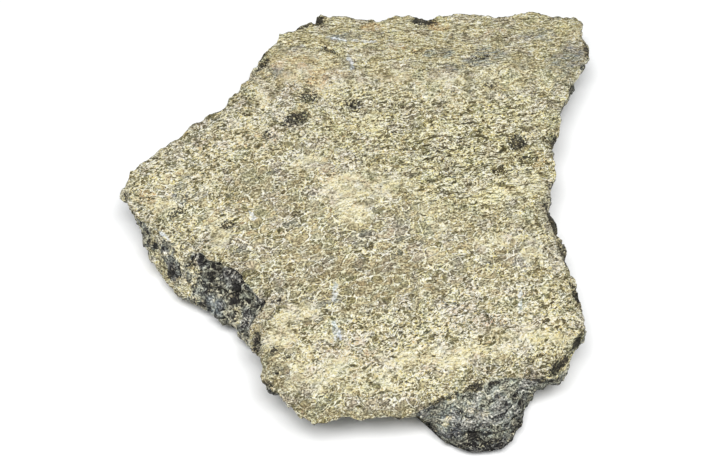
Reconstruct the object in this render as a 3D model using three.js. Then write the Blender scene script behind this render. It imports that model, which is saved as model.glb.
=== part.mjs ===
// A broken slab of fossil dinosaur bone, sawn flat on its upper face and left rough everywhere else.
// The slab is one piece of stone. Its sawn face lies level. The far edge rolls off where the saw left the
// bone's old outer skin. The broken wall leans under the face in some places and stands out in others.
// Millimetres, +Z up. The origin is on the ground, under the middle of the slab's box.
import * as THREE from "three";
import {
  mergeGeometries,
  mergeVertices,
} from "three/addons/utils/BufferGeometryUtils.js";
import { ParametricGeometry } from "three/addons/geometries/ParametricGeometry.js";

// Driving dimensions.
const thickness = 24; // ground to sawn face
const chippedEdge = 1.3; // how far the worn rim drops below the sawn face
const rollOff = 3.6; // how far the skin at the far edge drops below the sawn face
const rollOffStart = 58; // y where the sawn face ends and the skin begins
const rollOffEnd = 88; // y of the far edge
const wallRoughness = 1.1; // how far the broken wall strays to either side
const middle = [4, 4]; // plan point that every ray to the rim starts from
const boxMiddle = [2.5, 7.5]; // plan centre of the slab's box, which is moved onto the origin

// How finely the faces are divided.
const cellsPerSide = 40; // grid cells along each quarter of the rim
const wallRows = 10; // grid cells from the rim to the ground
const crowding = 1.2; // above 1, the rings of the sawn face crowd towards its rim

// The break, clockwise from the far end of the left edge: x and y of the rim, then x and y of the foot below.
const breakLine = [
  [-34, 64.5, -31, 63],
  [-28.5, 75, -26, 71],
  [-27, 80, -25, 76],
  [-21.5, 81.5, -20, 78],
  [-18.5, 84.5, -17, 80],
  [-14.5, 85.5, -13, 81],
  [-12.5, 89, -11, 84],
  [-2, 88, -2, 84],
  [7.5, 86, 7.5, 82],
  [16, 87.5, 16, 83],
  [21, 87.5, 21, 83],
  [23, 86, 23, 82],
  [28, 86, 28, 82],
  [30.5, 87.5, 30, 83],
  [40.5, 88.5, 40, 84],
  [48, 87.5, 47, 83],
  [57, 88, 56, 84],
  [64, 90, 62, 85],
  [69.5, 87.5, 67, 83],
  [79.5, 87, 75, 82],
  [81, 84, 76, 80],
  [80.5, 78, 76, 76],
  [82.5, 71, 78, 70],
  [79.5, 63, 75, 63],
  [75.5, 53.5, 71, 54],
  [71, 43, 67, 43],
  [69.5, 34, 65, 34],
  [66, 26, 62, 26],
  [67.5, 17, 63, 17],
  [65, 11, 61.5, 11],
  [64.5, 5, 62, 5],
  [66.5, -3.5, 64.5, -3.5],
  [68, -12, 66.5, -12],
  [71, -26, 69, -25],
  [74, -36.5, 71, -34],
  [73, -41, 70.5, -39],
  [68, -52.5, 67, -48],
  [63, -58.5, 63.5, -52],
  [56, -59, 58.5, -55],
  [50, -58.5, 54.5, -59.5],
  [46, -58.5, 53, -66],
  [42, -58.5, 50, -72],
  [40, -60.5, 45.5, -74.5],
  [37, -62.5, 38.5, -75.5],
  [33, -64, 33, -74],
  [29, -65.5, 28.5, -71.5],
  [24.5, -68, 25.5, -68.5],
  [20.5, -70.5, 22, -65],
  [17, -72.5, 17, -60],
  [10.5, -72.5, 11, -57.5],
  [3, -72.5, 4, -57],
  [-4, -72.5, -2, -57],
  [-6, -74.5, -4.5, -58],
  [-10.5, -75, -8, -58],
  [-14, -74, -10.5, -58],
  [-18, -69.5, -13, -57],
  [-22.5, -65.5, -16, -54.5],
  [-27, -62, -19, -52.5],
  [-29, -57, -22, -50],
  [-29, -51.5, -25, -47],
  [-32.5, -46.5, -29, -42],
  [-33, -40.5, -32.5, -36.5],
  [-30.5, -36.5, -35.5, -33],
  [-28.5, -32.5, -38, -30.5],
  [-31.5, -28, -43.5, -26],
  [-36.5, -22.5, -49, -21.5],
  [-42.5, -18.5, -53, -18.5],
  [-48, -15, -57, -15.5],
  [-54.5, -11.5, -60.5, -12.5],
  [-60.5, -8.5, -64, -8.5],
  [-65, -5, -67, -2.5],
  [-71.5, 0.5, -70, 5],
  [-77.5, 9, -72.5, 11],
  [-76, 14, -72, 14.5],
  [-74.5, 18, -70.5, 17.5],
  [-67, 25, -63.5, 23],
  [-60.5, 32, -57, 29.5],
  [-53.5, 39, -50.5, 36.5],
  [-44, 45, -41, 42.5],
  [-38.5, 54.5, -35.5, 53],
];

const { lerp, smoothstep } = THREE.MathUtils;

// Rim and foot at a share of the way round: each break point gets an equal share, straight lines join them.
function breakAt(share) {
  const place = (share - Math.floor(share)) * breakLine.length;
  const k = Math.floor(place);
  const next = breakLine[(k + 1) % breakLine.length];
  return breakLine[k].map((value, i) => lerp(value, next[i], place - k));
}

// Value noise from -1 to 1: a hashed number at each whole point, blended smoothly between them.
function hashed(i, j, k) {
  const wave = Math.sin(i * 127.1 + j * 311.7 + k * 74.7) * 43758.5453;
  return 2 * (wave - Math.floor(wave)) - 1;
}

function noise(x, y, z) {
  const [i, j, k] = [x, y, z].map(Math.floor);
  const [a, b, c] = [x - i, y - j, z - k].map((f) => smoothstep(f, 0, 1));
  const edge = (dj, dk) =>
    lerp(hashed(i, j + dj, k + dk), hashed(i + 1, j + dj, k + dk), a);
  return lerp(
    lerp(edge(0, 0), edge(1, 0), b),
    lerp(edge(0, 1), edge(1, 1), b),
    c,
  );
}

// Height of the upper face, before the rim wears down.
const faceHeight = (y) =>
  thickness - rollOff * smoothstep(y, rollOffStart, rollOffEnd);

// The upper face: a square grid bent into rings, each ring a shrunken copy of the rim. A cell's ring is the
// larger of its two distances from the grid's middle, and its turn is its place along that square.
function facePoint(u, v, target) {
  const a = 2 * u - 1;
  const b = 2 * v - 1;
  const ring = Math.max(Math.abs(a), Math.abs(b));
  let turn = 0;
  if (ring > 0) {
    if (b === ring) turn = (a / ring + 1) / 8;
    else if (a === ring) turn = (3 - b / ring) / 8;
    else if (b === -ring) turn = (5 - a / ring) / 8;
    else turn = (7 + b / ring) / 8;
  }
  const size = 1 - (1 - ring) ** crowding;
  const [rimX, rimY] = breakAt(turn);
  const x = lerp(middle[0], rimX, size);
  const y = lerp(middle[1], rimY, size);
  const worn = ring > 1 - 0.5 / cellsPerSide ? chippedEdge : 0;
  target.set(x, y, faceHeight(y) - worn);
}

// The broken wall: each column runs from the rim to the foot. It bulges, because the lean is a power of the
// depth, and strays sideways by noise that fades in below the rim.
function wallPoint(u, v, target) {
  const [rimX, rimY, footX, footY] = breakAt(u);
  const leansOut = Math.hypot(footX, footY) > Math.hypot(rimX, rimY);
  const lean = v ** (leansOut ? 0.8 : 1.5);
  const x = lerp(rimX, footX, lean);
  const y = lerp(rimY, footY, lean);
  const z = (faceHeight(rimY) - chippedEdge) * (1 - v);
  const coarse = noise(x / 13, y / 13, z / 9);
  const fine = noise(x / 5 + 40, y / 5, z / 4);
  const stray =
    wallRoughness * (0.7 * coarse + 0.4 * fine) * smoothstep(v, 0, 0.25);
  const outX = x - middle[0];
  const outY = y - middle[1];
  const away = Math.hypot(outX, outY);
  target.set(x + (outX / away) * stray, y + (outY / away) * stray, z);
}

const columns = 4 * cellsPerSide;
const face = new ParametricGeometry(facePoint, cellsPerSide, cellsPerSide);
const wall = new ParametricGeometry(wallPoint, columns, wallRows);

// The foot is flat: one sheet across the wall's lowest row, facing down.
const footPoints = Array.from({ length: columns }, (_, k) => {
  const point = new THREE.Vector3();
  wallPoint(k / columns, 1, point);
  return new THREE.Vector2(point.x, point.y);
});
const foot = new THREE.ShapeGeometry(new THREE.Shape(footPoints));
foot.index.array.reverse();

// The face, wall and foot share their edges, so merging their vertices closes the solid.
const shell = [face, wall, foot].map((sheet) => {
  sheet.deleteAttribute("normal");
  sheet.deleteAttribute("uv");
  return sheet;
});
const stone = mergeVertices(mergeGeometries(shell), 1e-3);
stone.translate(-boxMiddle[0], -boxMiddle[1], 0);
stone.computeVertexNormals();

const fossilBone = new THREE.MeshStandardMaterial({
  color: new THREE.Color(0.74, 0.72, 0.61),
  roughness: 0.7,
  metalness: 0,
});
const boneSection = new THREE.Mesh(stone, fossilBone);
boneSection.name = "bone_section";

const part = new THREE.Group();
part.add(boneSection);
export default part;
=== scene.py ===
import math

import bpy
import numpy as np
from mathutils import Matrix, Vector


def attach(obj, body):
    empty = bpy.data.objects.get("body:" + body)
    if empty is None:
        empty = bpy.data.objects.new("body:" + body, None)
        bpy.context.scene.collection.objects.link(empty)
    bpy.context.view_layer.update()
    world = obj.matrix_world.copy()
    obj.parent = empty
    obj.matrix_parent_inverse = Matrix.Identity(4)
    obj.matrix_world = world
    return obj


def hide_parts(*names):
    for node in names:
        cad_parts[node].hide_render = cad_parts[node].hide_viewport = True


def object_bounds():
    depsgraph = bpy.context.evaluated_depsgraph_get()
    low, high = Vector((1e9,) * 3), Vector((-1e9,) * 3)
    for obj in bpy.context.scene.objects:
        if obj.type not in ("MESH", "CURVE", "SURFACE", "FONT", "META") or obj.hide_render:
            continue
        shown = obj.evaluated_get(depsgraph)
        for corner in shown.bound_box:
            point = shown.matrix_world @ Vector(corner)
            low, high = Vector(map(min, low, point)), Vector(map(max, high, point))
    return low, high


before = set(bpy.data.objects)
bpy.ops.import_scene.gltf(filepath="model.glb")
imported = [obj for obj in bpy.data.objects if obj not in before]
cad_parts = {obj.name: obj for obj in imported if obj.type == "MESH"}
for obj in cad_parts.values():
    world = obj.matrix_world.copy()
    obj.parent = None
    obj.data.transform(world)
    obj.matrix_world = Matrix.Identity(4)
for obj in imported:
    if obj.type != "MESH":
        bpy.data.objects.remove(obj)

cad_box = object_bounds()

# --------------------------------------------------------------------------------------------------
# The slab: one piece of dinosaur bone turned to stone, sawn flat on its upper face. Round the saw
# cut it is as it broke: walls that lean in or out, a chipped rim, a bite with a dark hollow wall at
# the left and a low lobe of layered outer bone at the near right. It rests on its rough underside.
# --------------------------------------------------------------------------------------------------

# Sizes and places are in millimetres on the slab's own plan, x to the right and y away.
thickness = round(1000 * cad_box[1][2], 3)
face_sink = 0.25  # how far the sawn face lies under the slab's highest point
roll_off = 3.6  # how much lower the upper face lies at the far edge
roll_off_start = 58.0
roll_off_end = 88.0
middle = np.array([4.0, 4.0])  # where the rings of the upper face and of the underside close
box_middle = np.array([2.5, 7.5])  # the plan point that stands over the frame's origin
cells_per_side = 200  # grid cells along each side of the upper face
wall_rows = 54  # grid cells from the rim to the underside
crowding = 1.25  # above 1, the rings of a sheet crowd towards its rim
pit_depth = 1.5
chip_least = 0.8  # how far chips reach in from the rim, and how much more where it is deeply chipped
chip_more = 3.6
pocket_depth = 1.6  # of the narrow black chips
hollow_depth = 2.8  # of the hollows in the walls
fine_hollow = 2.0  # how far apart the small hollows lie, and the large ones
large_hollow = 4.2
block_size = 7.0  # how far apart the middles of the wall's blocks lie
layer_step = 2.6  # height of the lobe's layers
sight_slope = 1.6  # rise over run of a line from the slab to a viewer in front of it

# The break, clockwise from the far end of the left edge: x and y of the rim, then of the foot below.
break_line = np.array([
    (-34, 64.5, -31, 63), (-28.5, 75, -26, 71), (-27, 80, -25, 76), (-21.5, 81.5, -20, 78),
    (-18.5, 84.5, -17, 80), (-14.5, 85.5, -13, 81), (-12.5, 89, -11, 84), (-2, 88, -2, 84),
    (7.5, 86, 7.5, 82), (16, 87.5, 16, 83), (21, 87.5, 21, 83), (23, 86, 23, 82), (28, 86, 28, 82),
    (30.5, 87.5, 30, 83), (40.5, 88.5, 40, 84), (48, 87.5, 47, 83), (57, 88, 56, 84), (64, 90, 62, 85),
    (69.5, 87.5, 67, 83), (79.5, 87, 75, 82), (81, 84, 76, 80), (80.5, 78, 76, 76), (82.5, 71, 78, 70),
    (79.5, 63, 75, 63), (75.5, 53.5, 71, 54), (71, 43, 67, 43), (69.5, 34, 65, 34), (66, 26, 62, 26),
    (67.5, 17, 63, 17), (65, 11, 61.5, 11), (64.5, 5, 62, 5), (66.5, -3.5, 64.5, -3.5),
    (68, -12, 66.5, -12), (71, -26, 69, -25), (73.2, -36.5, 71, -34), (73.5, -41, 70.5, -39),
    (72.3, -44.5, 69.5, -42), (67.6, -51.5, 67, -48), (63, -58.5, 63.5, -52), (56, -59, 58.5, -55),
    (50, -58.5, 54.5, -59.5), (46, -58.5, 53, -66), (42, -58.5, 50, -72), (40, -60.5, 45.5, -74.5),
    (37, -62.5, 38.5, -75.5), (33, -64, 33, -74), (29, -65.5, 28.5, -71.5), (24.5, -68, 25.5, -68.5),
    (20.5, -70.5, 22, -65), (17, -72.5, 17, -60), (10.5, -72.5, 11, -57.5), (3, -72.5, 4, -57),
    (-4, -72.5, -2, -57), (-6, -73.6, -4.5, -58), (-9.5, -74.6, -8, -58), (-13, -74, -10.5, -58),
    (-17.5, -70.5, -13, -57), (-22.5, -65.5, -16, -54.5), (-27, -62, -19, -52.5), (-29, -57, -22, -50),
    (-29, -51.5, -25, -47), (-32.5, -46.5, -29, -42), (-33, -40.5, -32.5, -36.5),
    (-30.5, -36.5, -35.5, -33), (-28.5, -32.5, -38, -30.5), (-31.5, -28, -43.5, -26),
    (-36.5, -22.5, -49, -21.5), (-42.5, -18.5, -53, -18.5), (-48, -15, -57, -15.5),
    (-54.5, -11.5, -60.5, -12.5), (-60.5, -8.5, -64, -8.5), (-65, -5, -67, -2.5), (-71.5, 0.5, -70, 5),
    (-77.5, 9, -72.5, 11), (-76, 14, -72, 14.5), (-74.5, 18, -70.5, 17.5), (-67, 25, -63.5, 23),
    (-60.5, 32, -57, 29.5), (-53.5, 39, -50.5, 36.5), (-44, 45, -41, 42.5), (-38.5, 54.5, -35.5, 53),
])


def smooth(value, low, high):
    """0 below low and 1 above high, with 3t² - 2t³ between them, where t is the way from low to high."""
    t = np.clip((value - low) / (high - low), 0, 1)
    return t * t * (3 - 2 * t)


def mix(a, b, share):
    """a(1 - share) + b share."""
    return a + (b - a) * share


def hashed(i, j, k):
    """A fixed number from -1 to 1 for each whole point: twice the fraction of a large sine of its
    coordinates, less 1."""
    wave = np.sin(i * 127.1 + j * 311.7 + k * 74.7) * 43758.5453
    return 2 * (wave - np.floor(wave)) - 1


def noise(x, y, z):
    """Value noise from -1 to 1: the hashed numbers at the eight corners of the unit cell that a point
    is in, blended smoothly along each axis."""
    i, j, k = np.floor(x), np.floor(y), np.floor(z)
    a, b, c = smooth(x - i, 0, 1), smooth(y - j, 0, 1), smooth(z - k, 0, 1)

    def edge(dj, dk):
        return mix(hashed(i, j + dj, k + dk), hashed(i + 1, j + dj, k + dk), a)

    return mix(mix(edge(0, 0), edge(1, 0), b), mix(edge(0, 1), edge(1, 1), b), c)


def rubble(x, y, z, size, octaves=3):
    """Noise of the given size, plus 0.55 times as much at half the size, and so on for each octave."""
    total = 0
    for octave in range(octaves):
        finer = 2**octave / size
        total = total + 0.55**octave * noise(x * finer + 17 * octave, y * finer, z * finer)
    return total


def nearest_seed(x, y, z, size):
    """Distance to the nearest of the seeds scattered one to a cell of the given size, in cells."""
    x, y, z = x / size, y / size, z / size
    i, j, k = np.floor(x), np.floor(y), np.floor(z)
    nearest = np.full(x.shape, 9.0)
    for di, dj, dk in np.ndindex(3, 3, 3):
        a, b, c = i + di - 1, j + dj - 1, k + dk - 1
        seed_x = a + 0.5 + 0.45 * hashed(a, b, c)
        seed_y = b + 0.5 + 0.45 * hashed(b, c + 5, a)
        seed_z = c + 0.5 + 0.45 * hashed(c + 9, a, b)
        gap = np.sqrt((x - seed_x)**2 + (y - seed_y)**2 + (z - seed_z)**2)
        nearest = np.minimum(nearest, gap)
    return nearest


def patches(x, y, places):
    """How far a point lies inside soft ovals, 0 to 1: the largest of strength (1 - smooth(r, 0.55, 1.45)),
    where r is the distance from an oval's middle in half lengths along its tilted axes."""
    most = np.zeros(np.shape(x))
    for at_x, at_y, half_length, half_width, tilt, strength in places:
        cosine, sine = math.cos(math.radians(tilt)), math.sin(math.radians(tilt))
        lengthwise = ((x - at_x) * cosine + (y - at_y) * sine) / half_length
        crosswise = ((y - at_y) * cosine - (x - at_x) * sine) / half_width
        r = np.hypot(lengthwise, crosswise)
        most = np.maximum(most, strength * (1 - smooth(r, 0.55, 1.45)))
    return most


def break_at(turn):
    """Rim x, y and foot x, y at shares of the way round. A stretch's share is half by its length along
    the rim and half equal for all, so that short stretches get finer cells. Straight lines join the
    break points."""
    closed = np.vstack([break_line, break_line[:1]])
    lengths = np.hypot(*np.diff(closed[:, :2], axis=0).T)
    weights = lengths + lengths.mean()
    ends = np.concatenate([[0], np.cumsum(weights)]) / weights.sum()
    return np.array([np.interp(turn % 1, ends, closed[:, i]) for i in range(4)])


def line_distance(x, y, stretches):
    """Distance in plan from each point to the nearest of some straight stretches: the nearest point of
    a stretch from (x0, y0) to (x1, y1) is start + t (end - start), with t held between 0 and 1."""
    nearest = np.full(np.shape(x), 1e9)
    for x0, y0, x1, y1 in stretches:
        t = ((x - x0) * (x1 - x0) + (y - y0) * (y1 - y0)) / ((x1 - x0)**2 + (y1 - y0)**2)
        t = np.clip(t, 0, 1)
        nearest = np.minimum(nearest, np.hypot(x - x0 - t * (x1 - x0), y - y0 - t * (y1 - y0)))
    return nearest


# Where the rim is chipped more than elsewhere: x, y, half length, half width, tilt and strength.
deep_chips = [
    (-20, -68, 16, 5, -40, 0.75), (6, -72, 12, 4, 0, 0.5), (70, -48, 13, 6, 62, 1.0),
    (61, -58, 6, 4, 0, 0.9), (-12, 88, 4, 4, 0, 0.6), (71, 33, 5, 4, 80, 0.5), (66, 2, 12, 3, 85, 0.4),
    (-32, -46, 8, 4, 80, 0.7), (-74, 10, 9, 4, 60, 0.3), (-36, 60, 10, 3, 65, 0.35),
    (-28, -60, 8, 5, -50, 0.6),
]
# Narrow chips along the rim, painted black: partly the dark crust, partly painted shade in their pockets.
black_shaded_chips = [
    (64, -53.2, 6.5, 1.2, 50, 1.0), (69.6, -46.5, 4, 1.0, 60, 1.0), (54.6, -59.2, 5, 1.0, 5, 1.0),
    (25, 85.3, 5, 2.4, -3, 1.0), (-12.4, 86.2, 2.6, 2.2, 50, 1.0), (-18, 83.3, 3, 0.8, 25, 0.8),
    (65.2, -0.5, 7.5, 1.5, -72, 1.0), (68, -14, 7, 1.1, -72, 0.8), (71.2, -30, 7, 1.1, -72, 0.8),
    (67.4, 31, 1.2, 2.4, -15, 0.6), (28, -65.8, 9, 0.8, 22, 0.9), (37.5, -61.5, 3.0, 1.2, 15, 1.0),
    (-30.5, -45, 1.3, 4, 0, 0.9), (-27.5, -61.5, 1.0, 2, 10, 0.7), (-23, -56.5, 2.2, 0.7, 50, 0.7),
    (-33, 67.5, 4, 1.2, 55, 0.8), (81.5, 70, 1.2, 4, 0, 0.8), (-25, -49, 2.2, 1.2, 40, 0.8),
    (-20, -51, 2.5, 0.7, 30, 0.7), (-27, -60, 3, 0.7, -30, 0.8), (-75.8, 8, 1.1, 4, 0, 0.7),
]
# Where the walls are hollow, cream or layered, and the pits in the sawn face, in the same way.
hollow_bite = [(-39, -27, 13, 9, -35, 1.0), (-49, -15.5, 8, 4.5, -25, 1.0)]
cream_ledge = [(-61, -13, 11, 8, -40, 1.0)]
layered_lobe = [(42, -66, 19, 13, 10, 1.0)]
# Knobs on the walls, and with a minus sign dents, which get painted shade inside: x, y, z, radius and
# height.
wall_knobs = [
    (-69, -2, 13, 3.5, 2.4), (-56.5, -10, 15, 3.5, 1.8), (-60, -9, 9, 4, -1.8),
    (-50, -12, 16.5, 4, -2.2), (37.3, -72.4, 10.3, 2.6, -2.6), (32.2, -71.4, 3.1, 2.2, -1.6),
    (-44, -20.8, 19, 2.6, -2.0), (-43, -24, 15.5, 2.6, -2.2), (-37.8, -25, 18.3, 2.6, -2.2),
    (-43, -22, 4, 5, 1.2), (-34, -31, 13, 2.6, -2), (-49, -17, 20, 2.2, -1.6), (64, -54, 16, 5, 0.7),
    (57, -60, 17, 5, 1.2), (51, -64, 12, 3.5, 1.2), (-65, -5, 6, 4, 1.0),
]
face_pits = [
    (-19.4, 39.8, 4.5, 2.6, 15, 1.0), (-22.5, 38, 2.5, 2, 0, 0.8), (-0.3, 46, 3.2, 2.4, 0, 0.9),
    (-15.5, 49, 4, 2.4, -10, 0.7), (55, 30, 3.2, 3.2, 30, 1.0), (66.5, 31.5, 2.5, 3, 0, 0.5),
    (48.6, 18.5, 3, 2, 20, 0.55), (-58, 2, 3.5, 2.5, 10, 0.6), (-41.5, -3, 3, 1.8, 10, 0.7),
    (-24.5, -31.5, 1.8, 1.2, 20, 0.7), (-32, 63.8, 3.5, 1.6, 55, 1.0), (-8.5, 70.8, 3.8, 1.2, -35, 0.9),
    (-29, 33, 2.5, 2, 0, 0.6), (58, 23.5, 4.5, 1.2, 10, 0.55), (43.9, 66.5, 4.5, 1.3, 12, 0.55),
    (47.5, 53.5, 3, 1.6, -20, 0.5), (23, 69, 3.5, 1, 5, 0.4),
]
lip_middle = (-17.5, 54.0)  # the skin at the far left is lower outside an arc round this point
lip_radius = 17.8
lip_drop = 0.9


def lip_distance(x, y):
    """Distance out from the lip's arc, which wanders by about 1 mm, and how much of the lip there is,
    0 to 1."""
    wander = 0.8 * noise(x / 3, y / 3, 0 * x) + 0.3 * rubble(x, y, 0 * x, 1.2, 2)
    out = np.hypot(x - lip_middle[0], y - lip_middle[1]) + wander - lip_radius
    return out, smooth(y, 50, 62) * (1 - smooth(x, 0, 16))


def face_height(x, y):
    """Height of the sawn face: level, then rolled off by the smooth step from roll_off_start to
    roll_off_end, less lip_drop outside the lip's arc at the far left, less pits up to pit_depth deep,
    plus a slight waviness."""
    height = thickness - face_sink - roll_off * smooth(y, roll_off_start, roll_off_end)
    lip_out, lip_share = lip_distance(x, y)
    outside = smooth(lip_out, -0.3, 0.8) * lip_share
    rough = 0.5 + 0.5 * rubble(x, y, 0 * x, 1.6)
    pits = patches(x, y, face_pits) * np.clip(rough, 0, 1)
    waviness = 0.12 * noise(x / 9, y / 9, 0 * x) + 0.06 * rubble(x, y, 0 * x, 2)
    return height - lip_drop * outside - pit_depth * pits + waviness


def chip_width(x, y):
    """How far chips reach in from the rim: chip_least and up to chip_more besides in the deep_chips,
    both times a noise from 0.05 to 2."""
    lively = np.clip(0.55 + 0.7 * rubble(x, y, 0 * x, 5.0) + 0.4 * rubble(x, y, 0 * x, 1.9), 0.05, 2)
    return (chip_least + chip_more * patches(x, y, deep_chips)) * lively


def chipped(x, y, gap):
    """How far the rim's chips lower the face at a distance gap from the rim: 0.8 times what is left of
    the chip's width there, with noise on the gap so that chips end raggedly, and steep pockets
    pocket_depth deeper in the black_shaded_chips, which fade out towards the far edge."""
    ragged = gap + 0.5 * rubble(x, y, 0 * x, 1.8)
    pocket = smooth(patches(x, y, black_shaded_chips) + 0.5 * rubble(x, y, 0 * x, 1.7, 2), 0.45, 0.75)
    pocket = pocket * (1 - smooth(y, 40, 70))
    left_over = np.clip(chip_width(x, y) - ragged, 0, 4.2)
    return 0.8 * left_over + pocket_depth * pocket * (1 - smooth(gap, 5, 9))


def layer_level(x, y, z):
    """Which layer of the lobe a point is in, counted up from the ground: a whole number at each step."""
    return z / layer_step + 0.05 * x + 0.7 * noise(x / 7, y / 7, z / 7)


def stands_out(x, y, z):
    """How far the broken stone stands out of the wall, in mm, and how deep and shaded each point lies, 0
    to 1. It is broad lumps, rubble and grit, plus the knobs, less hollows where 1 - smooth(distance to
    the nearest seed) is the depth: fine ones everywhere and large swirled ones in the bite. Outside
    the bite it also stands out in blocks, 3.2 (0.5 - distance to the nearest seed, block_size apart),
    with clefts between them. The lobe has layers instead, steps that lean with x and wander with noise,
    and a groove under the rim. Hollows, clefts, steps, the groove and dents get painted shade."""
    lumps = 0.8 * noise(x / 13, y / 13, z / 9) + 0.7 * rubble(x, y, z, 4.2)
    lumps = lumps + 0.2 * noise(x / 0.9, y / 0.9, z / 0.9)
    uneven = 1 + 0.4 * rubble(x, y, z, 3.4)
    knobs = 0
    for knob_x, knob_y, knob_z, radius, height in wall_knobs:
        away = uneven * np.sqrt((x - knob_x)**2 + (y - knob_y)**2 + (z - knob_z)**2)
        knobs = knobs + height * (1 - smooth(away, 0.3 * radius, 1.2 * radius))
    bite = patches(x, y, hollow_bite)
    lobe = patches(x, y, layered_lobe)
    swirl_x, swirl_z = x + 1.2 * noise(x / 3, y / 3, z / 3), z + 1.2 * noise(z / 3, x / 3, y / 3)
    large = 1 - smooth(nearest_seed(swirl_x, y, 1.25 * swirl_z, large_hollow) * uneven, 0.3, 0.6)
    fine = 1 - smooth(nearest_seed(swirl_x, y, 1.3 * swirl_z, fine_hollow), 0.25, 0.6)
    hollows = 0.2 * large * (1 - bite) + large * bite
    level = layer_level(x, y, z)
    layers = 1.3 * ((level % 1)**0.6 - 0.6) + 0.35 * ((2.7 * level % 1) - 0.5)
    to_block = nearest_seed(x + 1.5 * noise(x / 4, y / 4, z / 4), y, 1.4 * z, block_size)
    cleft = smooth(to_block + 0.2 * rubble(x, y, z, 3), 0.55, 0.8) * (1 - bite) * (1 - lobe)
    lumps = lumps + 3.2 * (0.5 - to_block) * (1 - bite)
    out = mix(lumps - 0.55 * fine * (1 - bite), 0.22 * lumps + layers, lobe)
    out = out + knobs - hollow_depth * hollows
    crevice = (1 - smooth(level % 1, 0.0, 0.16)) * lobe
    under_rim = smooth(z, 18.5, 20) * (1 - smooth(z, 21.5, 23)) * lobe
    under_rim = under_rim * smooth(rubble(x, y, z, 4, 2), -0.4, 0.3)
    out = out - 1.2 * under_rim
    # What is dark here becomes painted shade in the material: hollows, fine hollows, clefts, the lobe's
    # steps, the groove under the rim, and dents.
    dark = hollows + 0.45 * fine * (1 - lobe) + 0.5 * cleft + 0.9 * crevice + 0.4 * under_rim
    return out, np.clip(dark - 0.35 * np.minimum(knobs, 0), 0, 1)


def ring_and_turn(cells):
    """A square grid bent into rings: a vertex's ring is the larger of its two distances from the grid's
    middle, 0 to 1, and its turn is how far round it lies on that square, clockwise from the far left
    corner."""
    a, b = np.meshgrid(np.linspace(-1, 1, cells + 1), np.linspace(1, -1, cells + 1))
    ring = np.maximum(np.abs(a), np.abs(b))
    safe = np.where(ring > 0, ring, 1)
    sides = [(a / safe + 1) / 8, (3 - b / safe) / 8, (5 - a / safe) / 8, (7 + b / safe) / 8]
    turn = np.select([b == ring, a == ring, b == -ring], sides[:3], sides[3])
    return ring, turn


def out_of_wall(outline):
    """Unit vectors square to a closed outline, pointing out: the direction from span vertices behind
    to span vertices ahead, turned a quarter turn."""
    span = 9
    ahead = np.roll(outline, -span, axis=1) - np.roll(outline, span, axis=1)
    across = np.array([-ahead[1], ahead[0]])
    return across / np.hypot(*across)


# The wall: a column at each grid vertex round the rim and wall_rows cells down each.
columns = 4 * cells_per_side
turns = np.arange(columns) / columns
rim_x, rim_y, foot_x, foot_y = break_at(turns)
facing = out_of_wall(np.array([rim_x + foot_x, rim_y + foot_y]) / 2)

# The wall is fattest belly_height above the ground, and the foot is tucked in below that. The foot's
# line is drawn as a viewer in front sees it, so where the wall leans out its belly stands
# belly_height / sight_slope nearer, except on the lobe.
leans_out = np.hypot(foot_x, foot_y) > np.hypot(rim_x, rim_y)
bite = patches(foot_x, foot_y, hollow_bite)
ledge = patches(foot_x, foot_y, cream_ledge)
lobe = patches(foot_x, foot_y, layered_lobe)
belly_height = mix(8.5, 4.2, lobe)
tuck = mix(5.5, 5.0, lobe) + 1.5 * noise(foot_x / 9, foot_y / 9, 0 * foot_x)
belly_x = foot_x
belly_y = foot_y - belly_height / sight_slope * leans_out * (1 - lobe)
rim_out = stands_out(rim_x, rim_y, np.full(columns, thickness - 1))[0] * 0.5
rim_out = np.clip(rim_out + 0.35 * rubble(rim_x, rim_y, 0 * rim_x, 2.2), -1.2, 0.4)
foot_out = np.clip(stands_out(foot_x, foot_y, np.zeros(columns))[0] * 0.6, -1.2, 0.35)


def sheet_plan(cells, line_x, line_y, line_out):
    """Plan of a sheet: each ring is the outline shrunk towards the middle to 1 - (1 - ring)^crowding of
    its size, and the rings near the rim follow the wall's roughness."""
    ring, turn = ring_and_turn(cells)
    size = 1 - (1 - ring)**crowding

    def along(values):
        return np.interp(turn * columns, np.arange(columns + 1), np.append(values, values[0]))

    near = smooth(ring, 0.93, 1) * along(line_out)
    x = mix(middle[0], along(line_x), size) + near * along(facing[0])
    y = mix(middle[1], along(line_y), size) + near * along(facing[1])
    return ring, x, y


# The upper face, lowered by the rim's chips and roughened within about 8 mm of the rim.
ring, face_x, face_y = sheet_plan(cells_per_side, rim_x, rim_y, rim_out)
rim_stretches = np.hstack([break_line[:, :2], np.roll(break_line[:, :2], -1, axis=0)])
gap = line_distance(face_x, face_y, rim_stretches) * (ring < 1)
drop = chipped(face_x, face_y, gap)
edge_rough = (1 - smooth(gap + 2 * noise(face_x / 6, face_y / 6, 0 * face_x), 2, 8)) * smooth(gap, 0, 0.8)
face_z = face_height(face_x, face_y) - drop
face_z = face_z - 0.3 * edge_rough * (1 + rubble(face_x, face_y, 0 * face_x, 2.0, 2))

# The underside, at half the fineness: hollows up to 1.2 mm deep between the spots that touch the ground.
under_ring, under_x, under_y = sheet_plan(cells_per_side // 2, foot_x, foot_y, foot_out - tuck)
hollow_under = np.clip(0.25 + rubble(under_x, under_y, 0 * under_x + 3, 16, 4), 0, 1.3)
under_z = np.clip(0.9 * hollow_under + 1.2 * smooth(under_ring, 0.96, 1), 0, 2.4)


def walk_round(grid):
    """The border of a square grid, clockwise from its first corner."""
    return np.concatenate([grid[0, :-1], grid[:-1, -1], grid[-1, :0:-1], grid[:0:-1, 0]])


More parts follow.
